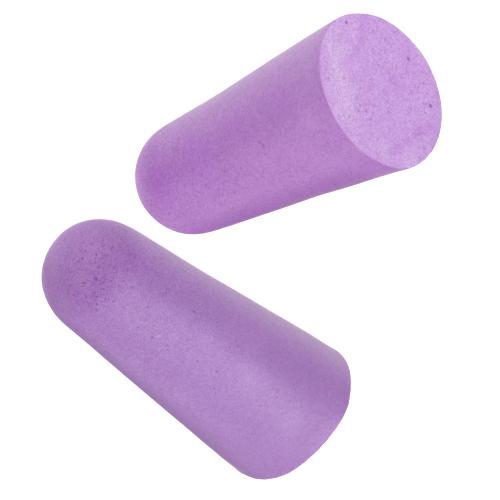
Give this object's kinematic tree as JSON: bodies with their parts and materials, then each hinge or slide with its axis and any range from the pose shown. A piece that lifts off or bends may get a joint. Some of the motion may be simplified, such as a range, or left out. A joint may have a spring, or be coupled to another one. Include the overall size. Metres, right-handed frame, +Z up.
{
  "type": "foam ear plugs",
  "caption": "Tapered soft foam ear plugs with a rounded nose and a flat cut end, lying loose, to be squeezed thin and left to swell in the ear canal against noise.",
  "frame": {"origin": "middle of the pair's footprint, on the surface the plugs lie on", "axes": "+Z up, away from that surface; the plugs lie one behind the other along Y, noses together towards +X and cut ends spread towards -X; -Y is the front, where the nearer plug shows its cut end"},
  "size_m": [0.0294, 0.0526, 0.0119],
  "materials": {
    "foam": "soft matt slow-recovery polyurethane foam, fine closed skin on the side, open cells on the cut end, light purple"
  },
  "bodies": {
    "plug_a": {"ear_plug_a": "foam"},
    "plug_b": {"ear_plug_b": "foam"}
  },
  "joints": [
    {"name": "plug_b_lift", "type": "slide", "parent": "plug_a", "child": "plug_b", "axis": [0, 0, 1], "range_m": [0, 0.02]}
  ]
}
